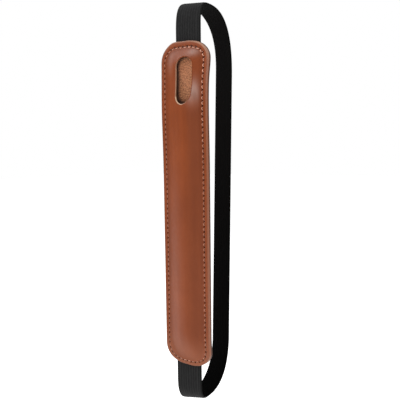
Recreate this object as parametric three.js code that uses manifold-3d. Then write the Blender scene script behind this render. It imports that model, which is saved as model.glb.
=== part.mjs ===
// A slim leather sleeve for one fountain pen, held on a notebook by a flat elastic band.
//
// Millimetres, +Z up. The sleeve stands upright with the end that takes the pen at the top.
// Its front faces -Y. The plane y = 0 is the back face, which lies on the notebook cover,
// and the origin is the middle of that face. The band leaves the sleeve at both ends and
// loops behind it, on the +Y side.
import * as THREE from 'three';
import { mergeVertices } from 'three/addons/utils/BufferGeometryUtils.js';
import Module from 'manifold-3d';

const wasm = await Module();
wasm.setup();

// Outline of the sleeve: straight sides and full, slightly flattened ends.
const CASE_LENGTH = 200;
const CASE_WIDTH = 34.2;
const CORNER_ACROSS = 15.1;
const CORNER_ALONG = 11.7;

// Layers of the flat rim, listed from the back face to the front.
const LEATHER = 0.9;
const CORE = 0.8;
const LINING = 0.2;
const LAYER_GAP = 0.05;
const BACK_LEATHER_AT = 0;
const CORE_AT = BACK_LEATHER_AT + LEATHER + LAYER_GAP;
const BACK_LINING_AT = CORE_AT + CORE + LAYER_GAP;
const FRONT_LINING_AT = BACK_LINING_AT + LINING + LAYER_GAP;
const FRONT_LEATHER_AT = FRONT_LINING_AT + LINING + LAYER_GAP;
const RIM_THICKNESS = FRONT_LEATHER_AT + LEATHER;

// The front is moulded out over the pen, inside the line of stitches. The ridge of the pocket
// runs a little to the right of the middle.
const POCKET_OFFSET = 2;
const DOME_HEIGHT = 5.6;
const DOME_HALF_WIDTH = 13.5;
const DOME_HALF_LENGTH = 96.6;
const DOME_RISE_TOP = 28;
const DOME_RISE_BOTTOM = 20;
const DOME_CORNER_POWER = 2.6;
const DOME_FALL_POWER = 1.4;
const DOME_STEPS_ACROSS = 20;
const DOME_STEPS_ALONG = 34;
const END_CROWDING = 0.15;

// The stadium window that the pen goes in through.
const WINDOW_WIDTH = 12;
const WINDOW_LENGTH = 29;
const WINDOW_MIDDLE = 76.3;

// The seam that runs right round the rim. Its thread lies in a groove, which is deep enough
// on the back to keep that face flush.
const SEAM_INSET = 2.6;
const STITCH_PITCH = 3.1;
const THREAD_RADIUS = 0.22;
const THREAD_ARCH = 0.08;
const THREAD_CLEARANCE = 0.05;
const THREAD_SIDES = 4;
const GROOVE_WIDTH = 0.7;
const FRONT_GROOVE_DEPTH = 0.25;
const BACK_GROOVE_DEPTH = 0.6;

// The flat elastic band.
const BAND_WIDTH = 18;
const BAND_THICKNESS = 0.8;
const BAND_FRONT = -(CORE_AT + CORE / 2);
const BAND_REAR = 36.5;
const BAND_TWIST = 0.33;
const BAND_GAP = 0.3;
const TAB_INNER_END = 88;
const TAB_OUTER_END = 101;
const STUB_END = 111;
const REAR_STRETCH_START = 40;
const REAR_STRETCH_END = 80;
const TAB_CLEARANCE = 0.3;

// The two ends of the loop. The tape is sewn in a little to the right of the middle.
const TOP_BEND = { side: 1, offset: 2.6, crown: 8.5, crownZ: 123, rearDrop: 34 };
const BOTTOM_BEND = { side: -1, offset: 0.6, crown: 7, crownZ: 125, rearDrop: 35 };

// Mesh steps, and how far cutting shapes and slabs reach past what they cut.
const CORNER_STEPS = 12;
const BEND_STEPS = 30;
const CUT_MARGIN = 2;
const SLAB_MARGIN = 1;
const MERGE_DISTANCE = 1e-4;

// The ring that a seam thread is bent from.
const RING_RADIUS = 10;

const MATERIALS = {
  leather: { color: 0x8f4f34, roughness: 0.42, metalness: 0 },
  lining: { color: 0x9f674d, roughness: 0.9, metalness: 0 },
  core: { color: 0x8a7a66, roughness: 0.95, metalness: 0 },
  thread: { color: 0x9a5b3c, roughness: 0.7, metalness: 0 },
  elastic: { color: 0x1b1b1c, roughness: 0.85, metalness: 0 },
};

const group = new THREE.Group();
group.name = 'fountain_pen_case';

function addPart(name, geometry, material) {
  const flat = geometry.index ? geometry.toNonIndexed() : geometry;
  flat.computeVertexNormals();
  const mesh = new THREE.Mesh(flat, new THREE.MeshStandardMaterial(MATERIALS[material]));
  mesh.name = name;
  group.add(mesh);
}

// Booleans work on solids made from the corner positions alone.
function toSolid(geometry) {
  const bare = new THREE.BufferGeometry();
  bare.setAttribute('position', geometry.getAttribute('position'));
  bare.setIndex(geometry.index);
  const merged = mergeVertices(bare, MERGE_DISTANCE);
  const mesh = new wasm.Mesh({
    numProp: 3,
    vertProperties: new Float32Array(merged.getAttribute('position').array),
    triVerts: new Uint32Array(merged.index.array),
  });
  return new wasm.Manifold(mesh);
}

function toGeometry(solid) {
  const mesh = solid.getMesh();
  const geometry = new THREE.BufferGeometry();
  geometry.setAttribute('position', new THREE.BufferAttribute(mesh.vertProperties, 3));
  geometry.setIndex(new THREE.BufferAttribute(mesh.triVerts, 1));
  return geometry;
}

// The rim outline moved inward by `inset`, drawn in the plane of the sleeve.
function rimOutline(inset) {
  const x = CASE_WIDTH / 2 - inset;
  const z = CASE_LENGTH / 2 - inset;
  const across = CORNER_ACROSS - inset;
  const along = CORNER_ALONG - inset;
  const shape = new THREE.Shape();
  shape.moveTo(x, along - z);
  shape.lineTo(x, z - along);
  shape.absellipse(x - across, z - along, across, along, 0, Math.PI / 2, false, 0);
  shape.lineTo(across - x, z);
  shape.absellipse(across - x, z - along, across, along, Math.PI / 2, Math.PI, false, 0);
  shape.lineTo(-x, along - z);
  shape.absellipse(across - x, along - z, across, along, Math.PI, 1.5 * Math.PI, false, 0);
  shape.lineTo(x - across, -z);
  shape.absellipse(x - across, along - z, across, along, 1.5 * Math.PI, 2 * Math.PI, false, 0);
  return shape;
}

function stadium(width, length, x, z) {
  const radius = width / 2;
  const straight = length / 2 - radius;
  const shape = new THREE.Shape();
  shape.moveTo(x + radius, z - straight);
  shape.lineTo(x + radius, z + straight);
  shape.absarc(x, z + straight, radius, 0, Math.PI, false);
  shape.lineTo(x - radius, z - straight);
  shape.absarc(x, z - straight, radius, Math.PI, 2 * Math.PI, false);
  return shape;
}

// A flat sheet of the given outline. Depth is measured forward from the back face.
function sheet(shape, depth, thickness) {
  const geometry = new THREE.ExtrudeGeometry(shape, {
    depth: thickness,
    bevelEnabled: false,
    curveSegments: CORNER_STEPS,
  });
  geometry.rotateX(Math.PI / 2);
  geometry.translate(0, -depth, 0);
  return geometry;
}

// How far the front stands forward of the flat rim at (x, z).
function domeHeight(x, z) {
  const rise = z > 0 ? DOME_RISE_TOP : DOME_RISE_BOTTOM;
  const past = Math.max(0, Math.abs(z) - (DOME_HALF_LENGTH - rise)) / rise;
  const fromRidge = x - POCKET_OFFSET;
  const flank = DOME_HALF_WIDTH - Math.sign(fromRidge) * POCKET_OFFSET;
  const across = Math.abs(fromRidge) / flank;
  const reach = (across ** DOME_CORNER_POWER + past ** DOME_CORNER_POWER) ** (1 / DOME_CORNER_POWER);
  if (reach >= 1) {
    return 0;
  }
  return DOME_HEIGHT * Math.cos((Math.PI / 2) * reach) ** DOME_FALL_POWER;
}

// Splits the front squares of a slab along the same diagonals as the back ones, so that
// skins bent over the same dome nest with an even gap.
function matchDiagonals(slab) {
  const index = slab.index.array;
  const front = slab.groups[3];
  for (let i = front.start; i < front.start + front.count; i += 6) {
    const [a, b, d, , c] = index.slice(i, i + 5);
    index.set([a, b, c, a, c, d], i);
  }
}

// A moulded skin: a thin slab bent forward over the dome, with its steps crowded toward the ends.
function mouldedSkin(depth, thickness) {
  const slab = new THREE.BoxGeometry(
    CASE_WIDTH + 2 * SLAB_MARGIN, thickness, CASE_LENGTH + 2 * SLAB_MARGIN,
    DOME_STEPS_ACROSS, 1, DOME_STEPS_ALONG,
  );
  matchDiagonals(slab);
  const position = slab.getAttribute('position');
  const halfLength = CASE_LENGTH / 2 + SLAB_MARGIN;
  for (let i = 0; i < position.count; i += 1) {
    const x = position.getX(i);
    const u = position.getZ(i) / halfLength;
    const z = halfLength * (u + END_CROWDING * Math.sin(Math.PI * u));
    const y = position.getY(i) - depth - thickness / 2 - domeHeight(x, z);
    position.setXYZ(i, x, y, z);
  }
  const tall = RIM_THICKNESS + DOME_HEIGHT + 2 * CUT_MARGIN;
  const outline = toSolid(sheet(rimOutline(0), -CUT_MARGIN, tall));
  const windowShape = stadium(WINDOW_WIDTH, WINDOW_LENGTH, POCKET_OFFSET, WINDOW_MIDDLE);
  const window = toSolid(sheet(windowShape, -CUT_MARGIN, tall));
  return toGeometry(toSolid(slab).intersect(outline).subtract(window));
}

// A channel along the seam, from `from` to `to` in depth forward of the back face.
function seamGroove(from, to) {
  const outer = toSolid(sheet(rimOutline(SEAM_INSET - GROOVE_WIDTH / 2), from, to - from));
  const core = rimOutline(SEAM_INSET + GROOVE_WIDTH / 2);
  const inner = toSolid(sheet(core, from - CUT_MARGIN, to - from + 2 * CUT_MARGIN));
  return outer.subtract(inner);
}

function backLeather() {
  const panel = toSolid(sheet(rimOutline(0), BACK_LEATHER_AT, LEATHER));
  return toGeometry(panel.subtract(seamGroove(-CUT_MARGIN, BACK_GROOVE_DEPTH)));
}

function frontLeather() {
  const skin = toSolid(mouldedSkin(FRONT_LEATHER_AT, LEATHER));
  const groove = seamGroove(RIM_THICKNESS - FRONT_GROOVE_DEPTH, RIM_THICKNESS + CUT_MARGIN);
  return toGeometry(skin.subtract(groove));
}

// The stiff core stops short of the band's two sewn-in tabs.
function coreBoard() {
  const board = toSolid(sheet(rimOutline(1), CORE_AT, CORE));
  const notchLength = CASE_LENGTH / 2 - TAB_INNER_END + TAB_CLEARANCE;
  const notch = new THREE.BoxGeometry(BAND_WIDTH + 2 * TAB_CLEARANCE, 4 * CORE, notchLength);
  const middle = CASE_LENGTH / 2 - notchLength / 2;
  const cuts = [TOP_BEND, BOTTOM_BEND].map((bend) => (
    toSolid(notch.clone().translate(bend.offset, BAND_FRONT, bend.side * middle))
  ));
  return toGeometry(board.subtract(cuts[0]).subtract(cuts[1]));
}

// One closed run of thread that arches up at every stitch. `floor` is the y of the bottom of
// its groove and `outward` is the direction the sewn face looks along Y.
function seamThread(floor, outward) {
  const seam = rimOutline(SEAM_INSET);
  const steps = 2 * Math.round(seam.getLength() / STITCH_PITCH);
  const points = seam.getSpacedPoints(steps);
  const ring = new THREE.TorusGeometry(RING_RADIUS, 1, THREAD_SIDES, steps);
  const position = ring.getAttribute('position');
  for (let i = 0; i < position.count; i += 1) {
    const turn = Math.atan2(position.getY(i), position.getX(i)) / (2 * Math.PI);
    const at = (Math.round(turn * steps) + steps) % steps;
    const before = points[(at + steps - 1) % steps];
    const after = points[(at + 1) % steps];
    const along = new THREE.Vector2().subVectors(after, before).normalize();
    const fromRing = Math.hypot(position.getX(i), position.getY(i)) - RING_RADIUS;
    const sideways = fromRing * THREAD_RADIUS;
    const arch = at % 2 === 0 ? THREAD_ARCH : 0;
    const lift = THREAD_CLEARANCE + THREAD_RADIUS + arch + position.getZ(i) * THREAD_RADIUS;
    position.setXYZ(
      i,
      points[at].x + along.y * sideways,
      floor + outward * lift,
      points[at].y - along.x * sideways,
    );
  }
  if (outward > 0) {
    ring.index.array.reverse();
  }
  return ring;
}

// A length of flat band along a path drawn in the plane (y, z). `offset` is its place across
// the sleeve where it is sewn in, and `turned` gives how far it has swung round to its rear
// setting, centred behind the sleeve, at each point, from 0 to 1.
function bandLength(path, steps, offset, turned) {
  const points = path.getSpacedPoints(steps);
  const strip = new THREE.BoxGeometry(BAND_WIDTH, BAND_THICKNESS, steps, 4, 1, steps);
  const position = strip.getAttribute('position');
  for (let i = 0; i < position.count; i += 1) {
    const at = Math.round(position.getZ(i) + steps / 2);
    const before = points[Math.max(at - 1, 0)];
    const after = points[Math.min(at + 1, steps)];
    const tangent = new THREE.Vector3(0, after.x - before.x, after.y - before.y).normalize();
    const swing = turned(points[at]);
    const across = new THREE.Vector3(Math.cos(BAND_TWIST * swing), -Math.sin(BAND_TWIST * swing), 0);
    const outward = new THREE.Vector3().crossVectors(tangent, across).normalize();
    const corner = new THREE.Vector3(offset * (1 - swing), points[at].x, points[at].y);
    corner.addScaledVector(across, position.getX(i));
    corner.addScaledVector(outward, position.getY(i));
    position.setXYZ(i, corner.x, corner.y, corner.z);
  }
  return strip;
}

function straightPath(y, zFrom, zTo) {
  const path = new THREE.Path();
  path.moveTo(y, zFrom);
  path.lineTo(y, zTo);
  return path;
}

// From the stub, over the crown and down the wide rear arc, for the upper end of the loop.
function bendPath(bend) {
  const path = new THREE.Path();
  const crownRise = bend.crownZ - STUB_END;
  const arcMiddle = bend.crownZ - bend.rearDrop;
  path.moveTo(BAND_FRONT, STUB_END + BAND_GAP);
  path.lineTo(BAND_FRONT, STUB_END + 2 * BAND_GAP);
  path.absellipse(
    bend.crown, STUB_END + 2 * BAND_GAP, bend.crown - BAND_FRONT, crownRise - 2 * BAND_GAP,
    Math.PI, Math.PI / 2, true, 0,
  );
  path.absellipse(
    bend.crown, arcMiddle, BAND_REAR - bend.crown, bend.rearDrop,
    Math.PI / 2, 0, true, 0,
  );
  path.lineTo(BAND_REAR, REAR_STRETCH_END + BAND_GAP);
  return path;
}

// The lower half of the loop is the upper half reflected in the plane z = 0.
function reflected(geometry) {
  geometry.scale(1, 1, -1);
  geometry.index.array.reverse();
  return geometry;
}

function bandHalf(prefix, bend) {
  const place = bend.side > 0 ? (geometry) => geometry : reflected;
  const flat = () => 0;
  const rear = () => 1;
  const arc = (point) => {
    const t = THREE.MathUtils.clamp((point.x - bend.crown) / (BAND_REAR - bend.crown), 0, 1);
    return THREE.MathUtils.smoothstep(t, 0, 1);
  };
  const tab = straightPath(BAND_FRONT, TAB_INNER_END, TAB_OUTER_END);
  const stub = straightPath(BAND_FRONT, TAB_OUTER_END + BAND_GAP, STUB_END);
  const rearStretch = straightPath(BAND_REAR, REAR_STRETCH_END, REAR_STRETCH_START + BAND_GAP);
  addPart(`band_${prefix}_tab`, place(bandLength(tab, 1, bend.offset, flat)), 'elastic');
  addPart(`band_${prefix}_stub`, place(bandLength(stub, 1, bend.offset, flat)), 'elastic');
  addPart(`band_${prefix}_bend`, place(bandLength(bendPath(bend), BEND_STEPS, bend.offset, arc)), 'elastic');
  addPart(`band_rear_${prefix}_run`, place(bandLength(rearStretch, 1, bend.offset, rear)), 'elastic');
}

addPart('back_leather', backLeather(), 'leather');
addPart('core_board', coreBoard(), 'core');
addPart('back_lining', sheet(rimOutline(0.4), BACK_LINING_AT, LINING), 'lining');
addPart('front_lining', mouldedSkin(FRONT_LINING_AT, LINING), 'lining');
addPart('front_leather', frontLeather(), 'leather');
addPart('front_seam_thread', seamThread(FRONT_GROOVE_DEPTH - RIM_THICKNESS, -1), 'thread');
addPart('back_seam_thread', seamThread(-BACK_GROOVE_DEPTH, 1), 'thread');

bandHalf('top', TOP_BEND);
bandHalf('bottom', BOTTOM_BEND);
const rearMiddle = straightPath(BAND_REAR, REAR_STRETCH_START, -REAR_STRETCH_START);
addPart('band_rear_middle_run', bandLength(rearMiddle, 2, 0, () => 1), 'elastic');

export default group;
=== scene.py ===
import math

import bmesh
import bpy
import numpy as np
from mathutils import Matrix, Vector


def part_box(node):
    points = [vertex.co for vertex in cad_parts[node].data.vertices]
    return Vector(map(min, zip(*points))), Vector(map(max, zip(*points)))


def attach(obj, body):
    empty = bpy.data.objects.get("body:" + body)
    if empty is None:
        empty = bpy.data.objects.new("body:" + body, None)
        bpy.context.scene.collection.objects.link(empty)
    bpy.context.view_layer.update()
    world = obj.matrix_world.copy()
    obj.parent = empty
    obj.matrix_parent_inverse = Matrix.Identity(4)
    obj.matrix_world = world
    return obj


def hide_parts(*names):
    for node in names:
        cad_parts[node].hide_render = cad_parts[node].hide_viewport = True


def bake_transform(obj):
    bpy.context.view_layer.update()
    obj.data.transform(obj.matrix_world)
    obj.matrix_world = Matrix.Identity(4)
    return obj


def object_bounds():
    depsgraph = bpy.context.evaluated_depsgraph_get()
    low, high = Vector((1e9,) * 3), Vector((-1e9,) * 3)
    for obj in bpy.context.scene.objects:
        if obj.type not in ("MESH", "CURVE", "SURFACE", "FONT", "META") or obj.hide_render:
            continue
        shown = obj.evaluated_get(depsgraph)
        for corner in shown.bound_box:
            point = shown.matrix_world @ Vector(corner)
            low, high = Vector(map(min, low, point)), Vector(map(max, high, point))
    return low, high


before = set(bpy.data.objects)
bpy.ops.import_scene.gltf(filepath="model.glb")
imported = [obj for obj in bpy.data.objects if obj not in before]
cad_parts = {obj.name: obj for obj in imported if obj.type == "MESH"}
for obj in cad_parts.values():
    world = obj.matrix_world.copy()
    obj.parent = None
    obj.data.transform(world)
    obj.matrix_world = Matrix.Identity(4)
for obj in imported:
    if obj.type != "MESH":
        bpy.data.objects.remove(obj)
cad_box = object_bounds()

MM = 0.001
TWO_PI = 2 * math.pi


def from_box(node, corner, axis):
    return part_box(node)[corner][axis] / MM


# Sizes in millimetres. y runs backward, so the front of the flat rim is at -RIM. Those that
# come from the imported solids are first. The outline starts NARROWER than the solid on each
# side, because relaxed() spreads it.
NARROWER = 0.3
HALF_WIDTH = from_box("back_leather", 1, 0) - NARROWER
HALF_LENGTH = from_box("back_leather", 1, 2)
BAND_WIDTH = from_box("band_top_tab", 1, 0) - from_box("band_top_tab", 0, 0)
BAND_FRONT = 0.5 * (from_box("band_top_tab", 0, 1) + from_box("band_top_tab", 1, 1))
BAND_THICKNESS = from_box("band_top_tab", 1, 1) - from_box("band_top_tab", 0, 1)
LINING_FACE = from_box("back_lining", 0, 1)

# The sleeve. Its corners are quarters of a superellipse, and the moulded front starts at
# INNER_INSET from its edge. Points of one leather that are nearer than WELD become one.
CORNER_ACROSS = 15.1
CORNER_ALONG = 11.7
CORNER_POWER = 2.25
RIM = 3.15
LEATHER = 0.85
INNER_INSET = 3.6
WELD = 0.0015

# The pocket. Its dome runs out over DOME_RISE at the upper end (1) and the lower end (-1), and
# is lower by the share SLACK_AT_WINDOW beside the window.
POCKET_OFFSET = 2.0
DOME_HEIGHT = 4.0
DOME_HALF_WIDTH = 13.0
DOME_HALF_LENGTH = 96.6
DOME_RISE = {1: 12.5, -1: 20.0}
DOME_CORNER_POWER = 2.6
DOME_PROFILE_POWER = 1.4
SLACK_AT_WINDOW = 0.30
SOFT_WAVES = 0.06

# The window. LIP is the radius of its rounded edge, and LIP_RAISED is how far the pen has
# lifted that edge at the foot.
WINDOW_HALF_WIDTH = 5.5
WINDOW_LENGTH = 28.0
WINDOW_MIDDLE = 76.3
WINDOW_TOP = WINDOW_MIDDLE + WINDOW_LENGTH / 2
WINDOW_FOOT = WINDOW_MIDDLE - WINDOW_LENGTH / 2
LIP = 0.45
LIP_RAISED = 1.3

# The seam. It lies SEAM_DROP farther from the upper end than its inset, and as much nearer
# the lower. Its holes are wider by HOLE_PULLED where the thread has pulled at them. A stitch
# starts THREAD_SUNK under the face and rises from there by THREAD_RISE.
SEAM_INSET = 2.7
SEAM_DROP = 0.7
STITCHES_PER_SIDE = 69
STEPS_PER_STITCH = 8
GROOVE_DEPTH = 0.20
HOLE_DEPTH = 0.5
HOLE_SIZE = 0.47
HOLE_PULLED = 0.12
THREAD_RADIUS = 0.24
THREAD_SUNK = 0.80
THREAD_RISE = 0.86

# The cloth and the elastic. Rows of the tape's mesh are TAPE_ROW apart, and SCALLOP is how far
# its edge loops stand out, as a share of half its width.
CLOTH_GAP = 0.12
CLOTH_LIFT = 0.22
CLOTH_RIB_PITCH = 0.95
CLOTH_YARN_PITCH = 0.62
RIB_PITCH = 1.8
RIB_HEIGHT = 0.05
PICK_PITCH = 0.55
SCALLOP = 0.004
TAPE_ROW = 0.6


def smoothstep(low, high, value):
    t = np.clip((value - low) / (high - low), 0.0, 1.0)
    return t * t * (3 - 2 * t)


def swell(value, middle, reach):
    """1 at middle, falling away smoothly on both sides over reach."""
    return np.exp(-(((value - middle) / reach) ** 2))


# ---------------------------------------------------------------- meshes


def grid_faces(rows, columns, wrap=False, flip=False):
    """Quads between the rows and columns of a grid. wrap joins the last column to the first."""
    here = np.arange(rows - 1)[:, None] * columns
    below = here + columns
    c = np.arange(columns if wrap else columns - 1)[None, :]
    after = (c + 1) % columns
    quads = np.stack([here + c, here + after, below + after, below + c], -1).reshape(-1, 4)
    return quads[:, ::-1] if flip else quads


def build_mesh(name, patches, body, materials, weld=0.0):
    """One object from patches of (points in mm, quads, material number, {attribute: values})."""
    points = []
    faces = []
    numbers = []
    values = {}
    offset = 0
    names = sorted({key for patch in patches for key in patch[3]})
    for grid, quads, number, attributes in patches:
        flat = grid.reshape(-1, 3)
        points.append(flat)
        faces.append(quads + offset)
        numbers.append(np.full(len(quads), number))
        for key in names:
            given = attributes.get(key, 0.0)
            values.setdefault(key, []).append(np.broadcast_to(given, grid.shape[:-1]).reshape(-1))
        offset += len(flat)
    mesh = bpy.data.meshes.new(name)
    mesh.from_pydata((np.concatenate(points) * MM).tolist(), [], np.concatenate(faces).tolist())
    mesh.polygons.foreach_set("material_index", np.concatenate(numbers).astype(np.int32))
    for key in names:
        layer = mesh.attributes.new(key, "FLOAT", "POINT")
        layer.data.foreach_set("value", np.concatenate(values[key]).astype(np.float32))
    for material in materials:
        mesh.materials.append(material)
    if weld:
        work = bmesh.new()
        work.from_mesh(mesh)
        bmesh.ops.remove_doubles(work, verts=work.verts, dist=weld * MM)
        work.to_mesh(mesh)
        work.free()
    mesh.shade_smooth()
    piece = bpy.data.objects.new(name, mesh)
    bpy.context.scene.collection.objects.link(piece)
    if body:
        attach(piece, body)
    return piece


# ---------------------------------------------------------------- outline


def distance_along(line):
    """How far each point of a line lies from its first."""
    return np.concatenate([[0], np.cumsum(np.linalg.norm(np.diff(line, axis=0), axis=1))])


def half_outline():
    """Points down the right side from the top middle to the bottom middle, even along the seam.

    Returns the inner line, INNER_INSET from the edge, the way out from it, and the seam's length.
    """
    x_middle = HALF_WIDTH - CORNER_ACROSS
    z_middle = HALF_LENGTH - CORNER_ALONG
    turn = np.linspace(0, math.pi / 2, 2000)
    power = 2 / CORNER_POWER
    arc = np.stack([
        x_middle + CORNER_ACROSS * np.sin(turn) ** power,
        z_middle + CORNER_ALONG * np.cos(turn).clip(0) ** power,
    ], 1)
    flat_x = np.linspace(0, x_middle, 60)[:-1]
    flat = np.stack([flat_x, np.full_like(flat_x, HALF_LENGTH)], 1)
    side_z = np.linspace(z_middle, -z_middle, 3002)[1:-1]
    side = np.stack([np.full_like(side_z, HALF_WIDTH), side_z], 1)
    edge = np.concatenate([flat, arc, side, arc[::-1] * [1, -1], flat[::-1] * [1, -1]])
    tangent = np.gradient(edge, axis=0)
    tangent /= np.linalg.norm(tangent, axis=1)[:, None]
    outward = np.stack([-tangent[:, 1], tangent[:, 0]], 1)
    outward[0] = (0, 1)
    outward[-1] = (0, -1)
    line = edge - outward * INNER_INSET
    seam = line + outward * (INNER_INSET - SEAM_INSET)
    run = distance_along(seam)
    even = np.linspace(0, run[-1], STITCHES_PER_SIDE * STEPS_PER_STITCH + 1)
    inner = np.stack([np.interp(even, run, line[:, i]) for i in (0, 1)], 1)
    out = np.stack([np.interp(even, run, outward[:, i]) for i in (0, 1)], 1)
    out /= np.linalg.norm(out, axis=1)[:, None]
    drop = SEAM_DROP * np.abs(out[:, 1])
    inner[:, 1] -= drop
    out[:, 1] += drop / INNER_INSET
    return inner, out, run[-1]


INNER, OUTWARD, SEAM_HALF_LENGTH = half_outline()
PITCH = SEAM_HALF_LENGTH / STITCHES_PER_SIDE


def all_round(half):
    """The whole loop from its right half: down the right side and back up the left."""
    mirrored = half[-2:0:-1] * [-1, 1]
    return np.concatenate([half, mirrored])


LOOP = all_round(INNER)
LOOP_OUT = all_round(OUTWARD)
LOOP_STEP = np.arange(len(LOOP))


def relaxed(x, z):
    """Where a point of the true outline has come to lie: the soft sleeve has filled out a little.

    It spreads beside the window, and both ends lean and have uneven shoulders. Each swell is
    given by its place and its reach in mm.
    """
    right = 0.7 + 0.6 * smoothstep(-80, -94, z) + 1.3 * swell(z, 89, 10) - 0.4 * swell(z, 58, 22)
    left = 0.45 + 0.65 * swell(z, 62, 24)
    spread = np.where(x > 0, right, left)
    lean = 0.033 * x * np.sign(z) * smoothstep(80, 100, np.abs(z))
    shoulders = 0.7 * swell(x, -8, 4.5) + 0.4 * swell(x, 13, 4) - 0.25
    return x * (1 + spread / HALF_WIDTH), z - lean + shoulders * smoothstep(84, 98, z)


def folded(x, y, z):
    """Points of the soft sleeve, in mm."""
    x, z = relaxed(x, z)
    return np.stack(np.broadcast_arrays(x, y, z), -1)


def dome(x, z):
    """Height of the moulded front above the flat rim."""
    rise = np.where(z > 0, DOME_RISE[1], DOME_RISE[-1])
    past = np.maximum(0, np.abs(z) - (DOME_HALF_LENGTH - rise)) / rise
    from_ridge = x - POCKET_OFFSET
    across = np.abs(from_ridge) / (DOME_HALF_WIDTH - np.sign(from_ridge) * POCKET_OFFSET)
    reach = (across**DOME_CORNER_POWER + past**DOME_CORNER_POWER) ** (1 / DOME_CORNER_POWER)
    crown = np.cos(0.5 * math.pi * np.clip(reach, 0, 1))
    return DOME_HEIGHT * crown**DOME_PROFILE_POWER


def window_distance(x, z):
    """Distance outward from the edge of the window, in the plane of the sleeve."""
    straight = WINDOW_LENGTH / 2 - WINDOW_HALF_WIDTH
    dz = np.maximum(0, np.abs(z - WINDOW_MIDDLE) - straight)
    return np.hypot(x - POCKET_OFFSET, dz) - WINDOW_HALF_WIDTH


def front_height(x, z):
    """The whole front: the dome, a lip raised by the pen at the foot of the window, soft waves."""
    near = np.exp(-np.maximum(0, window_distance(x, z)) / 2.5)
    lip = LIP_RAISED * near * smoothstep(75, 65, z) * smoothstep(-2, 9, x)
    waves = SOFT_WAVES * np.sin(z / 9.0 + 0.6) * np.sin(z / 23.0 + x / 9.0)
    inside = smoothstep(0.3, 2.0, dome(x, z))
    slack = 1 - SLACK_AT_WINDOW * smoothstep(60, 82, z)
    return dome(x, z) * slack + inside * (lip + waves)


# ---------------------------------------------------------------- materials


def new_material(name):
    material = bpy.data.materials.new(name)
    material.use_nodes = True
    tree = material.node_tree
    shader = tree.nodes["Principled BSDF"]
    return material, tree, shader


def node(tree, kind, inputs=(), **settings):
    made = tree.nodes.new(kind)
    for key, value in settings.items():
        setattr(made, key, value)
    for key, value in dict(inputs).items():
        if isinstance(value, bpy.types.NodeSocket):
            tree.links.new(value, made.inputs[key])
        else:
            made.inputs[key].default_value = value
    return made


def place(tree, scale=(1, 1, 1)):
    """Positions on the object at rest, stretched by scale."""
    coordinates = node(tree, "ShaderNodeTexCoord")
    mapping = node(tree, "ShaderNodeMapping", {"Vector": coordinates.outputs["Object"], "Scale": scale})
    return mapping.outputs["Vector"]


def noise(tree, vector, scale, detail=3.0):
    inputs = {"Vector": vector, "Scale": scale, "Detail": detail, "Roughness": 0.55}
    return node(tree, "ShaderNodeTexNoise", inputs).outputs["Fac"]


def remap(tree, value, low, high, to_low, to_high):
    inputs = {"Value": value, "From Min": low, "From Max": high, "To Min": to_low, "To Max": to_high}
    return node(tree, "ShaderNodeMapRange", inputs).outputs["Result"]


def mix(tree, factor, first, second):
    """first turned into second by factor. The numbered sockets are those for colours."""
    made = node(tree, "ShaderNodeMix", data_type="RGBA")
    for socket, value in ((made.inputs[0], factor), (made.inputs[6], first), (made.inputs[7], second)):
        if isinstance(value, bpy.types.NodeSocket):
            tree.links.new(value, socket)
        elif isinstance(value, tuple):
            socket.default_value = (*value, 1.0)
        else:
            socket.default_value = value
    return made.outputs[2]


def math_node(tree, operation, first, second=0.5):
    made = node(tree, "ShaderNodeMath", operation=operation)
    for socket, value in ((made.inputs[0], first), (made.inputs[1], second)):
        if isinstance(value, bpy.types.NodeSocket):
            tree.links.new(value, socket)
        else:
            socket.default_value = value
    return made.outputs[0]


def wave(tree, value, pitch):
    """A sine of value, from -1 to 1, that repeats every pitch."""
    return math_node(tree, "SINE", math_node(tree, "MULTIPLY", value, TWO_PI / pitch))


def bump(tree, shader, layers):
    """Stacks (height, strength, distance in mm) layers on the shader's normal."""
    normal = None
    for height, strength, distance in layers:
        inputs = {"Height": height, "Strength": strength, "Distance": distance * MM}
        made = node(tree, "ShaderNodeBump", inputs)
        if normal is not None:
            tree.links.new(normal, made.inputs["Normal"])
        normal = made.outputs["Normal"]
    tree.links.new(normal, shader.inputs["Normal"])


def attribute(tree, name):
    return node(tree, "ShaderNodeAttribute", attribute_name=name).outputs["Fac"]


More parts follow.
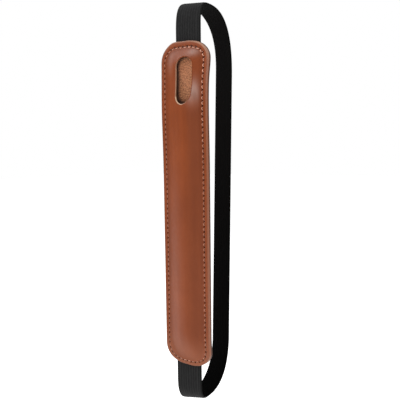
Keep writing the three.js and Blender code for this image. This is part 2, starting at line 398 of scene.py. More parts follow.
def leather_material():
    """Smooth dyed leather, grained, and marked where the attributes named in marks say."""
    body = (0.240, 0.0535, 0.0138)
    deep = (0.196, 0.0415, 0.0100)
    streak = (0.38, 0.09, 0.022)
    # Below, the third colour is painted shade, besides the real dark joint and edge paint, and the last
    # is a painted highlight; the edge colour is also painted lighter near the foot.
    marks = {
        "edge": (0.235, 0.083, 0.042),
        "rear_edge": (0.075, 0.030, 0.017),
        "crease": (0.075, 0.016, 0.006),
        "cut": (0.075, 0.026, 0.012),
        "worn": (0.74, 0.50, 0.34),
    }
    material, tree, shader = new_material("brown leather")
    at = place(tree)
    cloud = noise(tree, at, 42.0, 4.0)
    mottle = noise(tree, at, 420.0, 3.0)
    along = noise(tree, place(tree, (1, 1, 0.12)), 210.0, 3.0)
    colour = mix(tree, remap(tree, cloud, 0.3, 0.7, 0.0, 1.0), body, deep)
    colour = mix(tree, remap(tree, mottle, 0.35, 0.75, 0.0, 0.22), colour, deep)
    colour = mix(tree, remap(tree, along, 0.45, 0.8, 0.0, 0.15), colour, streak)
    for name, tint in marks.items():
        colour = mix(tree, attribute(tree, name), colour, tint)
    tree.links.new(colour, shader.inputs["Base Color"])
    tree.links.new(remap(tree, mottle, 0.3, 0.7, 0.36, 0.46), shader.inputs["Roughness"])
    shader.inputs["Specular IOR Level"].default_value = 0.18
    tree.links.new(attribute(tree, "polish"), shader.inputs["Coat Weight"])
    shader.inputs["Coat Roughness"].default_value = 0.42
    shader.inputs["Coat IOR"].default_value = 2.4
    cells = {"Vector": at, "Scale": 1500.0}
    pores = node(tree, "ShaderNodeTexVoronoi", cells, feature="DISTANCE_TO_EDGE")
    bump(tree, shader, [
        (pores.outputs["Distance"], 0.22, 0.05),
        (noise(tree, at, 2600.0, 4.0), 0.25, 0.05),
        (noise(tree, at, 160.0, 3.0), 0.3, 0.16),
    ])
    return material


def lining_material():
    """Ribbed woven cloth with slubs and specks. The attribute shade says where it has painted shadow.
    """
    furrow = (0.24, 0.088, 0.036)
    ridge = (0.56, 0.245, 0.110)
    stained = (0.50, 0.17, 0.080)
    dark_speck = (0.13, 0.046, 0.020)
    pale_slub = (0.66, 0.30, 0.15)
    painted_shade = (0.055, 0.017, 0.008)
    material, tree, shader = new_material("lining cloth")
    at = place(tree)
    wobble = noise(tree, at, 260.0, 2.0)
    split = node(tree, "ShaderNodeSeparateXYZ", {"Vector": at})
    row = math_node(tree, "ADD", split.outputs["Z"], math_node(tree, "MULTIPLY", wobble, 1.6 * MM))
    rib = remap(tree, wave(tree, row, CLOTH_RIB_PITCH * MM), -1, 1, 0, 1)
    yarn = remap(tree, wave(tree, split.outputs["X"], CLOTH_YARN_PITCH * MM), -1, 1, 0, 1)
    weave = math_node(tree, "MULTIPLY", rib, remap(tree, yarn, 0, 1, 0.7, 1.0))
    stain = noise(tree, at, 190.0, 4.0)
    colour = mix(tree, weave, furrow, ridge)
    colour = mix(tree, remap(tree, stain, 0.3, 0.75, 0.0, 0.5), colour, stained)
    speck = noise(tree, at, 1350.0, 3.0)
    colour = mix(tree, remap(tree, speck, 0.50, 0.62, 0.0, 0.85), colour, dark_speck)
    aside = node(tree, "ShaderNodeMapping", {"Vector": at, "Location": (0.3, 0.1, 0.2)})
    slub = noise(tree, aside.outputs["Vector"], 1700.0, 2.0)
    colour = mix(tree, remap(tree, slub, 0.56, 0.66, 0.0, 0.5), colour, pale_slub)
    colour = mix(tree, attribute(tree, "shade"), colour, painted_shade)
    tree.links.new(colour, shader.inputs["Base Color"])
    shader.inputs["Roughness"].default_value = 0.85
    shader.inputs["Sheen Weight"].default_value = 0.25
    shader.inputs["Sheen Roughness"].default_value = 0.5
    shader.inputs["Specular IOR Level"].default_value = 0.25
    bump(tree, shader, [(weave, 0.8, 0.16), (noise(tree, at, 3000.0, 2.0), 0.3, 0.06)])
    return material


def thread_material():
    """Twisted thread, paler where a stitch has a painted highlight."""
    body = (0.34, 0.115, 0.050)
    dark = (0.27, 0.085, 0.034)
    pale = (0.80, 0.42, 0.29)
    material, tree, shader = new_material("sewing thread")
    fibre = noise(tree, place(tree), 5200.0, 2.0)
    colour = mix(tree, remap(tree, fibre, 0.3, 0.7, 0.0, 1.0), body, dark)
    colour = mix(tree, attribute(tree, "worn"), colour, pale)
    tree.links.new(colour, shader.inputs["Base Color"])
    shader.inputs["Roughness"].default_value = 0.42
    shader.inputs["Specular IOR Level"].default_value = 0.6
    shader.inputs["Sheen Weight"].default_value = 0.3
    bump(tree, shader, [(fibre, 0.4, 0.04)])
    return material


def elastic_material(name, light, dark, rib_depth, specular, foot_shade):
    """Woven elastic. The attributes across and along give the place on the tape in mm.

    The last argument is how much painted shade darkens it toward the foot. Without it, the crowns get a
    painted highlight.
    """
    black = (0, 0, 0)
    edge_cord = (0.002, 0.002, 0.002)
    material, tree, shader = new_material(name)
    across = attribute(tree, "across")
    along = attribute(tree, "along")
    place_on_tape = node(tree, "ShaderNodeCombineXYZ", {"X": across, "Y": along}).outputs["Vector"]
    uneven = noise(tree, place_on_tape, 0.35, 3.0)
    rib = wave(tree, across, RIB_PITCH)
    offset_pick = math_node(tree, "MULTIPLY", rib, wave(tree, along, PICK_PITCH))
    knit = remap(tree, offset_pick, -1, 1, 0, 1)
    ridge = remap(tree, rib, -1, 1, 0, 1)
    fuzz = noise(tree, place_on_tape, 7.0, 2.0)
    drawn = node(tree, "ShaderNodeMapping", {"Vector": place_on_tape, "Scale": (1, 0.02, 1)})
    streak = noise(tree, drawn.outputs["Vector"], 1.6, 3.0)
    colour = mix(tree, ridge, dark, light)
    colour = mix(tree, remap(tree, streak, 0.35, 0.7, 0.0, 0.7), colour, dark)
    colour = mix(tree, remap(tree, knit, 0.2, 1.0, 0.0, 0.25), colour, light)
    colour = mix(tree, remap(tree, uneven, 0.4, 0.8, 0.0, 0.3), colour, light)
    # Painted shade toward the foot, and a painted highlight on the crowns of the folds.
    height = node(tree, "ShaderNodeSeparateXYZ", {"Vector": place(tree)}).outputs["Z"]
    colour = mix(tree, remap(tree, height, -0.09, 0.09, 0.6 * foot_shade, 0.0), colour, black)
    from_middle = math_node(tree, "ABSOLUTE", height)
    crown = remap(tree, from_middle, 0.1185, 0.1225, 0.0, 0.6 * (1 - foot_shade))
    colour = mix(tree, crown, colour, light)
    half = BAND_WIDTH / 2
    off_centre = math_node(tree, "ABSOLUTE", across)
    selvedge = remap(tree, off_centre, half - 1.2, half - 0.8, 0.0, 0.75)
    colour = mix(tree, selvedge, colour, edge_cord)
    tree.links.new(colour, shader.inputs["Base Color"])
    tree.links.new(remap(tree, fuzz, 0.3, 0.7, 0.68, 0.9), shader.inputs["Roughness"])
    shader.inputs["Specular IOR Level"].default_value = specular
    bump(tree, shader, [(ridge, 0.7, rib_depth), (knit, 0.4, 0.08), (fuzz, 0.3, 0.05)])
    return material


LEATHER_SKIN = leather_material()
LINING = lining_material()
THREAD = thread_material()
ELASTIC_OUT = elastic_material(
    "elastic face", light=(0.0225, 0.0225, 0.0228), dark=(0.0040, 0.0040, 0.0042),
    rib_depth=0.16, specular=0.12, foot_shade=0.0,
)
# The back of the tape is a flatter, less shiny weave, and its much darker colour is also painted shade
# on the rear run behind the case.
ELASTIC_IN = elastic_material(
    "elastic back", light=(0.0068, 0.0063, 0.0062), dark=(0.0036, 0.0034, 0.0034),
    rib_depth=0.06, specular=0.015, foot_shade=1.3,
)

# ---------------------------------------------------------------- rim and seam


def seam_relief(inset, step, hole_size):
    """How far the surface dips at the seam: a pressed groove with a needle hole at each stitch."""
    groove = GROOVE_DEPTH * swell(inset, SEAM_INSET, 0.42)
    phase = (step + STEPS_PER_STITCH / 2) % STEPS_PER_STITCH - STEPS_PER_STITCH / 2
    away = np.hypot(phase * PITCH / STEPS_PER_STITCH / 1.5, inset - SEAM_INSET)
    hole = np.exp(-((away / hole_size) ** 4))
    pillow = 0.05 * np.cos(TWO_PI * phase / STEPS_PER_STITCH) * swell(inset, SEAM_INSET, 0.9)
    return groove + HOLE_DEPTH * hole + pillow, hole


RIM_ROUNDING = 0.35


def rim_profile(side_depth):
    """(inset, depth) pairs from the inner line over the rounded edge and down the side."""
    one_side = [0.4, 0.28, 0.18, 0.09]
    at_seam = [1.0, 0.75, 0.55, *one_side, 0, *(-step for step in reversed(one_side))]
    to_edge = [2.2, 1.9, 1.6, 1.35, 1.1, 0.9, 0.75, 0.6, 0.5]
    pairs = [(inset, 0.0) for inset in [*(SEAM_INSET + step for step in at_seam), *to_edge]]
    for turn in np.linspace(0, math.pi / 2, 7):
        pairs.append((RIM_ROUNDING * (1 - math.sin(turn)), RIM_ROUNDING * (1 - math.cos(turn))))
    for share in np.linspace(0, 1, 5)[1:]:
        bulge = 0.05 * math.sin(math.pi * share)
        pairs.append((-bulge, RIM_ROUNDING + share * (side_depth - RIM_ROUNDING)))
    return np.array(pairs)


# How far each leather gives way where the band comes out.
TAB_OPENING = 0.5 * BAND_THICKNESS + 0.06


def tab_slit(x, z):
    """1 where the band comes out between the leathers, 0 elsewhere."""
    aside = np.abs(x - np.where(z > 0, TOP_END["offset"], BOTTOM_END["offset"]))
    near_end = np.abs(z) > HALF_LENGTH - 8
    return smoothstep(BAND_WIDTH / 2 + 1.6, BAND_WIDTH / 2 + 0.4, aside) * near_end


# Where the front and back leathers meet at the edge.
MEETING_Y = 0.15 - RIM / 2


def rim_patch(face_height, face_y, sign):
    """The flat rim, its seam and its edge. sign is -1 on the front face and 1 on the back."""
    profile = rim_profile(abs(face_y - MEETING_Y))
    inset = profile[:, 0][:, None]
    depth = profile[:, 1][:, None]
    x = LOOP[:, 0] + LOOP_OUT[:, 0] * (INNER_INSET - inset)
    z = LOOP[:, 1] + LOOP_OUT[:, 1] * (INNER_INSET - inset)
    # The thread has pulled its holes wider down the right side, most near the upper end.
    pulled = smoothstep(-4, 8, x) * smoothstep(-60, 50, z)
    relief, hole = seam_relief(inset, LOOP_STEP, HOLE_SIZE + HOLE_PULLED * pulled)
    margin = 0.05 * swell(inset, 1.35, 0.16)
    # The side of the edge leaves room for the band where it comes out.
    share = np.clip(depth / profile[-1, 1], 0, 1)
    room = TAB_OPENING * tab_slit(x, z) * smoothstep(0.25, 1.0, share)
    height = face_height(x, z) - (relief + margin) * (depth == 0) - depth + room
    y = face_y + sign * height
    points = folded(x, y, z)
    side = smoothstep(0.25, 0.75, 1 - np.clip(inset / 0.9, 0, 1))
    joint = smoothstep(0.90, 1.0, share)
    # Painted shade in the needle holes, a little more down the right side, and along the pressed
    # groove.
    painted_shade = hole * (0.8 + 0.2 * smoothstep(-10, 4, x)) + 0.25 * swell(inset, SEAM_INSET, 0.3)
    quads = grid_faces(len(profile), len(LOOP), wrap=True, flip=sign < 0)
    front = 1.0 if sign < 0 else 0.0
    # Edge paint has run a little onto the face down the left side. The rounded edge at the upper end
    # has a painted highlight, strongest toward the right corner.
    paint = 0.7 * smoothstep(0.75, 0.35, inset) * smoothstep(-9, -14, x) * smoothstep(101, 94, z)
    rounded = smoothstep(1.0, 0.5, inset) * (1 - 0.5 * side)
    upper = smoothstep(84, 96, z) * (0.10 + 0.28 * smoothstep(4, 11, x))
    # The rim margin near the foot is painted lighter: painted light.
    painted_foot_light = smoothstep(-76, -96, z) * smoothstep(3.4, 2.6, inset)
    # The face is glossier toward its edge near the upper end.
    gloss = 0.2 * smoothstep(2.2, 0.8, inset) * smoothstep(55, 85, z)
    marks = {
        # This dark mark is painted shade in the holes and groove, plus the real dark joint between the
        # leathers and the edge paint.
        "crease": np.clip(np.clip(painted_shade + 0.6 * joint, 0, 1) + front * paint, 0, 1),
        "edge": front * np.maximum(side, 0.25 * painted_foot_light),
        "rear_edge": (1 - front) * side,
        "worn": front * (rounded * upper + 0.045 * painted_foot_light),
        "polish": front * gloss,
    }
    return points, quads, 0, marks


# ---------------------------------------------------------------- front leather


def window_side(count, offset, hand):
    """count points down one side of the window from its top to its foot, and the way out from each."""
    radius = WINDOW_HALF_WIDTH + offset
    straight = WINDOW_LENGTH / 2 - WINDOW_HALF_WIDTH
    quarter = 0.5 * math.pi * radius
    run = np.linspace(0, 2 * quarter + 2 * straight, count)
    past = np.clip(run - quarter, 0, 2 * straight)
    turn = (run - past) / radius
    away = np.stack([hand * np.sin(turn), np.cos(turn)], 1)
    middle = np.stack([np.full(count, POCKET_OFFSET), WINDOW_MIDDLE + straight - past], 1)
    return middle + radius * away, away


def window_span(offset):
    """The first and last row of the sleeve that meet the window."""
    z = INNER[:, 1]
    first = np.argmin(np.abs(z - WINDOW_TOP - offset))
    last = np.argmin(np.abs(z - WINDOW_FOOT + offset))
    return int(first), int(last)


def centre_line(offset, hand):
    """The inner end of each row: the ridge of the pocket, or the edge of the window."""
    first, last = window_span(offset)
    z = INNER[:, 1].copy()
    z[: first + 1] = np.interp(z[: first + 1], [z[first], z[0]], [WINDOW_TOP + offset, z[0]])
    z[last:] = np.interp(z[last:], [z[-1], z[last]], [z[-1], WINDOW_FOOT - offset])
    x = POCKET_OFFSET * smoothstep(0, 9, z[0] - np.abs(z))
    line = np.stack([x, z], 1)
    line[first : last + 1] = window_side(last - first + 1, offset, hand)[0]
    return line


def moulded_rows(offset, columns, hand):
    """Rows of (x, z) from the centre line out to the inner line of the rim, on one side."""
    centre = centre_line(offset, hand)
    v = np.linspace(0, 1, columns)
    v = v + 0.12 * np.sin(TWO_PI * v) / TWO_PI
    return centre[:, None, :] + (INNER * [hand, 1] - centre)[:, None, :] * v[None, :, None]


def to_points(xz, height, face_y, sign):
    return folded(xz[..., 0], face_y + sign * height, xz[..., 1])


def lip_patch(hand):
    """The rounded and cut edge of the window, and a little of the leather's inner side."""
    first, last = window_span(LIP)
    edge, away = window_side(last - first + 1, LIP, hand)
    edge = edge - away * LIP
    turn = np.linspace(0, math.pi / 2, 6)
    rounded = np.stack([LIP * (1 - np.sin(turn)), LIP * (1 - np.cos(turn))], 1)
    cut_edge = [(0.0, 0.6), (0.02, LEATHER)]
    inner_side = [(0.12, LEATHER + 0.4), (0.3, LEATHER + 0.8), (2.5, LEATHER + 0.8)]
    profile = np.concatenate([rounded, cut_edge, inner_side])
    out = profile[:, :1]
    depth = profile[:, 1:]
    x = edge[:, 0] + away[:, 0] * out
    z = edge[:, 1] + away[:, 1] * out
    points = to_points(np.stack([x, z], -1), front_height(x, z) - depth, -RIM, -1)
    cut = smoothstep(0.3, 0.6, depth)
    # The lip's rounded edge has a painted highlight, most at the lower left and a little elsewhere.
    toward = -0.62 * away[:, 0] - 0.78 * away[:, 1]
    upper_left = 0.3 * smoothstep(1, -3, x) * smoothstep(92, 84, z)
    highlight_share = smoothstep(0.55, 0.9, toward) + upper_left + 0.25 * smoothstep(66, 63, z)
    worn = smoothstep(-0.05, 0.1, depth) * smoothstep(1.0, 0.6, depth) * np.clip(highlight_share, 0, 1)
    # The leather's inner side under the lip is painted dark: painted shade.
    under = smoothstep(LEATHER, LEATHER + 0.4, depth)
    quads = grid_faces(len(profile), last - first + 1, flip=hand < 0)
    return points, quads, 0, {"cut": cut, "worn": worn, "crease": 0.9 * under}


def polish(x, z):
    """Where handling has made the leather glossier: beside the window, and its shoulders."""
    beside = swell(x, 8.6, 3.0) * swell(z, 69.5, 6.0)
    right = swell(x, 8.5, 3.5) * swell(z, 92.5, 2.5)
    left = swell(x, -9, 2.5) * swell(z, 88, 6)
    return np.clip(beside + 0.5 * right + 0.3 * left, 0, 1)


def front_leather():
    patches = []
    for hand in (1, -1):
        xz = moulded_rows(LIP, 24, hand)
        x = xz[..., 0]
        z = xz[..., 1]
        points = to_points(xz, front_height(x, z), -RIM, -1)
        # Painted shade in the tuck at the foot of the dome, and painted shade on the right flank.
        foot = smoothstep(-78, -94, z)
        tuck = 0.28 * swell(dome(x, z), 0, 0.55) * (1 - 0.7 * foot)
        darker = 0.24 * swell(x, 8.5, 3.5) * smoothstep(64, 54, z) * (1 - foot)
        # A painted highlight where the leather is glossier, and a little painted light toward the foot.
        worn = 0.10 * polish(x, z) + 0.035 * foot
        marks = {"crease": tuck + darker, "polish": polish(x, z), "worn": worn}
        patches.append((points, grid_faces(*xz.shape[:2], flip=hand > 0), 0, marks))
        patches.append(lip_patch(hand))
    patches.append(rim_patch(front_height, -RIM, -1))
    piece = build_mesh("front_leather_skin", patches, "sleeve", [LEATHER_SKIN], weld=WELD)
    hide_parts("front_leather")


def rows_across(line, columns):
    """Rows of (x, z) from side to side of the sleeve, one for each point of a line down it."""
    v = np.linspace(-1, 1, columns)[None, :]
    return np.stack([line[:, :1] * v, line[:, 1:] * np.ones_like(v)], -1)


def level_height(x, z):
    """The back has no dome."""
    return np.zeros_like(x)


def back_leather():
    xz = rows_across(INNER, 16)
    points = to_points(xz, 0.0, 0.0, 1)
    patches = [
        (points, grid_faces(*xz.shape[:2]), 0, {}),
        rim_patch(level_height, 0.0, 1),
    ]
    piece = build_mesh("back_leather_skin", patches, "sleeve", [LEATHER_SKIN], weld=WELD)
    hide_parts("back_leather", "core_board")


# ---------------------------------------------------------------- lining


def back_lining():
    """The cloth on the back wall of the pocket, glued down with a few soft ripples."""
    xz = rows_across(INNER[::3] * [1.03, 1], 40)
    x = xz[..., 0]
    z = xz[..., 1]
    ripple = 0.18 * np.sin(z / 5.5) * np.cos(x / 4.0) + 0.1 * np.sin(x / 1.9 + z / 3.0)
    lift = CLOTH_LIFT + ripple * smoothstep(12.0, 9.0, np.abs(x))
    points = to_points(xz, lift, LINING_FACE, -1)
    # Painted shadow under the left and upper edge of the window, and at its foot.
    within = -window_distance(x + 1.0, z - 0.8)
    above = (z - WINDOW_TOP + WINDOW_HALF_WIDTH).clip(0)
    upper_left = smoothstep(0.5, -3.5, (x - POCKET_OFFSET) - 0.55 * above)
    shade = 0.7 * smoothstep(1.8, 0.4, within) * upper_left + 0.4 * smoothstep(68, 61, z)
    patch = (points, grid_faces(*xz.shape[:2], flip=True), 0, {"shade": np.clip(shade, 0, 1)})
    back = build_mesh("back_lining_cloth", [patch], "sleeve", [LINING], weld=WELD)
    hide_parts("back_lining")


def front_lining():
    """The cloth inside the moulded front, with the window cut out of it."""
    patches = []
    for hand in (1, -1):
        xz = moulded_rows(CLOTH_GAP, 16, hand)[::2]
        height = front_height(xz[..., 0], xz[..., 1]) - LEATHER - CLOTH_GAP
        quads = grid_faces(*xz.shape[:2], flip=hand > 0)
        patches.append((to_points(xz, height, -RIM, -1), quads, 0, {}))
    front = build_mesh("front_lining_cloth", patches, "sleeve", [LINING], weld=WELD)
    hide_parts("front_lining")


# ---------------------------------------------------------------- stitches


def thread_highlight(number, x, z):
    """How pale a stitch is painted, a painted highlight: most at the upper right and in the middle of
    the foot.
    """
    upper_right = 0.95 * smoothstep(10, 85, z) * smoothstep(-6, 8, x)
    upper_left = 0.35 * smoothstep(84, 96, z)
    foot = smoothstep(-94, -97, z) * swell(x, -1, 3.6)
    highlight_share = max(upper_right, upper_left, foot, 0.06 + 0.14 * smoothstep(0, 8, x))
    return float(np.clip(highlight_share * (1 + 0.35 * math.sin(number * 1.9)), 0, 1))


def stitches(name, face_y, sign, node_name):
    """Each stitch is its own short twisted strand that dips into a needle hole at both ends."""
    seam = LOOP + LOOP_OUT * (INNER_INSET - SEAM_INSET)
    rings = 13
    sides = 10
    t = np.linspace(0, 1, rings)[:, None]
    turn = np.linspace(0, TWO_PI, sides, endpoint=False)[None, :]
    bow = np.sin(math.pi * t)
    lift = -THREAD_SUNK + THREAD_RISE * bow**0.6
    # Three twisted plies, thinner toward the holes.
    radius = THREAD_RADIUS * (0.62 + 0.38 * bow**0.5) * (1 + 0.10 * np.cos(3 * (turn - 5.0 * t)))
    quads = grid_faces(rings, sides, wrap=True, flip=sign > 0)
    patches = []
    for number, start in enumerate(LOOP_STEP[::STEPS_PER_STITCH]):
        a = seam[start]
        b = seam[(start + STEPS_PER_STITCH) % len(LOOP)]
        out = LOOP_OUT[(start + STEPS_PER_STITCH // 2) % len(LOOP)]
        lean = 0.04 * math.sin(number * 2.4)
        inward = 0.22 + 0.35 * abs(out[1])
        centre = a + (b - a) * (0.17 + 0.66 * t) + out * (lean - inward * bow)
        along = (b - a) / np.linalg.norm(b - a)
        aside = radius * np.cos(turn)
        x = centre[:, :1] + along[1] * aside
        z = centre[:, 1:] - along[0] * aside
        y = face_y + sign * (lift + 0.85 * radius * np.sin(turn))
        marks = {"worn": thread_highlight(number, *(0.5 * (a + b)))}
        patches.append((folded(x, y, z), quads, 0, marks))
    piece = build_mesh(name, patches, "sleeve", [THREAD])
    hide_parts(node_name)


# ---------------------------------------------------------------- elastic band

# The rear of the loop runs straight, leaning and swung a little to one side: its (x, y, angle)
# halfway up, and how much each of them grows with z.
REAR_MIDDLE = (0.1, 36.56, 0.323)
REAR_LEAN = (0.0112, 0.0170, 0.00026)
REAR_WIDTH = BAND_WIDTH + 0.5

# At each end the tape is a ruled strip between its two woven edges. Each edge goes up the
# stub, over the crown and down the wide arc. crown is (y, z) and drop is how far the fold
# and the arc reach down from it. The powers say how square the fold and the arc are.
TOP_END = {
    "side": 1,
    "offset": 3.0,
    "width": 19.15,
    "crown_offset": 3.45,
    "crown_width": 17.5,
    "left": {"crown": (9.0, 124.2), "drop": (18.0, 33.4)},
    "right": {"crown": (7.8, 121.5), "drop": (18.4, 36.3)},
    "fold_power": 3.3,
    "arc_power": 2.32,
}
BOTTOM_END = {
    "side": -1,
    "offset": 0.45,
    "width": 19.9,
    "crown_offset": 0.25,
    "crown_width": 17.9,
    "left": {"crown": (7.8, 127.6), "drop": (14.3, 33.7)},
    "right": {"crown": (5.9, 122.3), "drop": (14.4, 36.3)},
    "fold_power": 2.56,
    "arc_power": 2.34,
}
TAB_START = 88.0
STUB_POINTS = 40
FOLD_POINTS = 61
ARC_POINTS = 161
REAR_POINTS = 121
ACROSS_POINTS = 121


def rear_edge(hand, z):
    """(x, y) of one edge of the rear run at z."""
    x, y, swing = (middle + lean * z for middle, lean in zip(REAR_MIDDLE, REAR_LEAN))
    half = hand * REAR_WIDTH / 2
    return np.stack([x + half * np.cos(swing), y - half * np.sin(swing)], -1)


def woven_edge(end, hand):
    """One edge of the tape from the tab to the middle of the rear run, as if for the upper end."""
    shape = end["left"] if hand < 0 else end["right"]
    crown_y, crown_z = shape["crown"]
    fold_drop, arc_drop = shape["drop"]
    stub_x = end["offset"] + hand * end["width"] / 2
    crown_x = end["crown_offset"] + hand * end["crown_width"] / 2
    z = np.linspace(TAB_START, crown_z - fold_drop, STUB_POINTS + 1)[:-1]
    stub = np.stack([np.full_like(z, stub_x), np.full_like(z, BAND_FRONT), z], 1)
    share = np.linspace(0, 1, FOLD_POINTS)
    turn = share * math.pi / 2
    power = 2 / end["fold_power"]
    fold = np.stack([
        stub_x + (crown_x - stub_x) * share,
        crown_y - (crown_y - BAND_FRONT) * np.cos(turn).clip(0) ** power,
        crown_z - fold_drop + fold_drop * np.sin(turn) ** power,
    ], 1)
    share = np.linspace(0, 1, ARC_POINTS)
    turn = share * math.pi / 2
    share = smoothstep(0, 1, share)
    power = 2 / end["arc_power"]
    foot = crown_z - arc_drop
    rear_x, rear_y = rear_edge(hand, np.array(end["side"] * foot))
    arc = np.stack([
        crown_x + (rear_x - crown_x) * share,
        crown_y + (rear_y - crown_y) * np.sin(turn) ** power,
        foot + arc_drop * np.cos(turn).clip(0) ** power,
    ], 1)
    z = np.linspace(foot, 0, REAR_POINTS)
    run = np.concatenate([rear_edge(hand, end["side"] * z), z[:, None]], 1)
    return np.concatenate([stub, fold, arc[1:], run[1:]])


# The row of the edge curves at the top of the fold, where the front piece meets the rear one.
CROWN_ROW = STUB_POINTS + FOLD_POINTS - 1


def tape_patches(end, first, last):
    """Both faces and both woven edges of the tape, between two rows of its edge curves."""
    left = woven_edge(end, -1)
    right = woven_edge(end, 1)
    centre = 0.5 * (left + right)
    run = distance_along(centre)
    even = np.linspace(run[first], run[last], int((run[last] - run[first]) / TAPE_ROW))

    def resample(line):
        return np.stack([np.interp(even, run, line[:, i]) for i in range(3)], 1)

    left = resample(left)
    right = resample(right)
    tangent = resample(np.gradient(centre, run, axis=0))
    tangent /= np.linalg.norm(tangent, axis=1)[:, None]
    across = right - left
    inward = np.cross(tangent, across)
    inward /= np.linalg.norm(inward, axis=1)[:, None]
    u = np.linspace(-1, 1, ACROSS_POINTS)
    reach = np.abs(u)
    off_centre = u * BAND_WIDTH / 2
    thin = 0.5 * BAND_THICKNESS * np.sqrt(np.clip(1 - reach**16, 0, 1)) + 0.02
    cord = RIB_HEIGHT * np.cos(TWO_PI * off_centre / RIB_PITCH) * smoothstep(1.0, 0.93, reach)
    loops = SCALLOP * np.sin(TWO_PI * even / (2 * PICK_PITCH))[:, None]
    scallop = loops * smoothstep(0.95, 1.0, reach) * np.sign(u)
    share = 0.5 * (1 + u[None, :] + scallop)[..., None]
    middle = left[:, None, :] * (1 - share) + right[:, None, :] * share
    marks = {"across": off_centre[None, :], "along": even[:, None]}
    patches = []
    for number, face in ((0, -1), (1, 1)):
        lift = face * (thin + cord)
        points = (middle + inward[:, None, :] * lift[None, :, None]) * [1, 1, end["side"]]
        quads = grid_faces(len(even), len(u), flip=(face > 0) != (end["side"] > 0))
        patches.append((points, quads, number, marks))
    for index in (0, -1):
        rim = np.stack([patches[0][0][:, index], patches[1][0][:, index]], 1)
        edge_marks = {"across": off_centre[index], "along": even[:, None]}
        quads = grid_faces(len(even), 2, flip=(index == 0) == (end["side"] > 0))
        patches.append((rim, quads, 0, edge_marks))
    return patches


def band(end, word):
    """Half of the loop, as a front piece up to the crown and a rear piece from there."""
    materials = [ELASTIC_OUT, ELASTIC_IN]
    patches = tape_patches(end, 0, CROWN_ROW)
    front = build_mesh(f"elastic_{word}_front", patches, None, materials)
    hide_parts(f"band_{word}_tab", f"band_{word}_stub")
    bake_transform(front)
    patches = tape_patches(end, CROWN_ROW, -1)
    rear = build_mesh(f"elastic_{word}_rear", patches, None, materials)
    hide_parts(f"band_{word}_bend", f"band_rear_{word}_run", "band_rear_middle_run")
    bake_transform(rear)


# ---------------------------------------------------------------- studio

# The camera looks from VIEW_DISTANCE off at the point TARGET, which is (right, up) from the
# origin in its own plane, and takes in VIEW_WIDTH there. Lengths are in mm and angles in degrees.
VIEW_DISTANCE = 293.4
VIEW_WIDTH = 248.45
VIEW_AZIMUTH = 38.0
VIEW_ELEVATION = 5.13
VIEW_ROLL = -0.66
TARGET = (7.41, 4.31)
SENSOR = 36.0


def camera():
    azimuth = math.radians(VIEW_AZIMUTH)
    elevation = math.radians(VIEW_ELEVATION)
    roll = math.radians(VIEW_ROLL)
    level = math.cos(elevation)
    back = Vector((math.sin(azimuth) * level, -math.cos(azimuth) * level, math.sin(elevation)))
    right = Vector((math.cos(azimuth), math.sin(azimuth), 0))
    up = back.cross(right)
    rolled_right = math.cos(roll) * right + math.sin(roll) * up
    rolled_up = back.cross(rolled_right)
    target = (rolled_right * TARGET[0] + rolled_up * TARGET[1]) * MM
    data = bpy.data.cameras.new("camera")
    data.lens = SENSOR * VIEW_DISTANCE / VIEW_WIDTH
    data.sensor_width = SENSOR
    data.clip_start = 0.01
    made = bpy.data.objects.new("camera", data)
    turned = Matrix((rolled_right, rolled_up, back)).transposed().to_4x4()
    made.matrix_world = Matrix.Translation(target + back * VIEW_DISTANCE * MM) @ turned
    bpy.context.scene.collection.objects.link(made)
    bpy.context.scene.camera = made


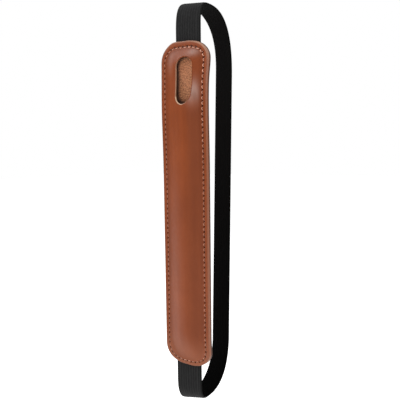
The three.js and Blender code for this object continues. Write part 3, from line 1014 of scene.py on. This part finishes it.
def backdrop():
    """The backdrop looks plain white. What it throws on the case is dark near the horizon and
    bright overhead, like a studio with a soft light above."""
    world = bpy.data.worlds.new("studio")
    world.use_nodes = True
    tree = world.node_tree
    background = tree.nodes["Background"]
    background.inputs["Color"].default_value = (1, 1, 1, 1)
    around = node(tree, "ShaderNodeTexCoord").outputs["Generated"]
    toward = node(tree, "ShaderNodeSeparateXYZ", {"Vector": around})
    overhead = remap(tree, toward.outputs["Z"], 0.15, 0.7, 0.03, 0.9)
    seen = node(tree, "ShaderNodeLightPath").outputs["Is Camera Ray"]
    tree.links.new(math_node(tree, "MAXIMUM", seen, overhead), background.inputs["Strength"])
    bpy.context.scene.world = world


FLOOR_REACH = 4.0
FLOOR_DROP = 0.03


def pale_floor():
    low = cad_box[0][2] - FLOOR_DROP
    corners = [(FLOOR_REACH * x, FLOOR_REACH * y, low) for x, y in ((-1, -1), (1, -1), (1, 1), (-1, 1))]
    mesh = bpy.data.meshes.new("floor")
    mesh.from_pydata(corners, [], [(0, 1, 2, 3)])
    floor = bpy.data.objects.new("floor", mesh)
    bpy.context.scene.collection.objects.link(floor)
    material, tree, shader = new_material("pale floor")
    colour = mix(tree, noise(tree, place(tree), 3.0), (0.95, 0.95, 0.95), (0.99, 0.99, 0.99))
    tree.links.new(colour, shader.inputs["Base Color"])
    shader.inputs["Roughness"].default_value = 0.9
    shader.inputs["Emission Color"].default_value = (1, 1, 1, 1)
    shader.inputs["Emission Strength"].default_value = 0.45
    mesh.materials.append(material)


def soft_light(name, place_at, size, watts, tint=(1, 1, 1)):
    """A soft rectangle that faces the middle of the case."""
    lamp = bpy.data.lights.new(name, "AREA")
    lamp.color = tint
    lamp.shape = "RECTANGLE"
    lamp.size = size[0]
    lamp.size_y = size[1]
    lamp.energy = watts
    made = bpy.data.objects.new(name, lamp)
    made.location = place_at
    made.rotation_euler = (-Vector(place_at)).to_track_quat("-Z", "Y").to_euler()
    bpy.context.scene.collection.objects.link(made)


# ---------------------------------------------------------------- the case in its studio

front_leather()
back_leather()
back_lining()
front_lining()
stitches("front_stitches", -RIM, -1, "front_seam_thread")
stitches("back_stitches", 0.0, 1, "back_seam_thread")
band(TOP_END, "top")
band(BOTTOM_END, "bottom")

bpy.context.scene.view_settings.view_transform = "Standard"
camera()
backdrop()
pale_floor()
soft_light("key", (-0.50, -0.25, 0.55), (0.5, 0.4), 2.6)
soft_light("front softbox", (0.14, -0.48, 0.58), (0.25, 0.2), 0.7)
soft_light("right rim", (0.55, 0.20, 0.2), (0.2, 0.5), 1.2)
soft_light("low front", (0.15, -0.68, 0.15), (0.14, 0.14), 0.36, (1.0, 0.88, 0.82))
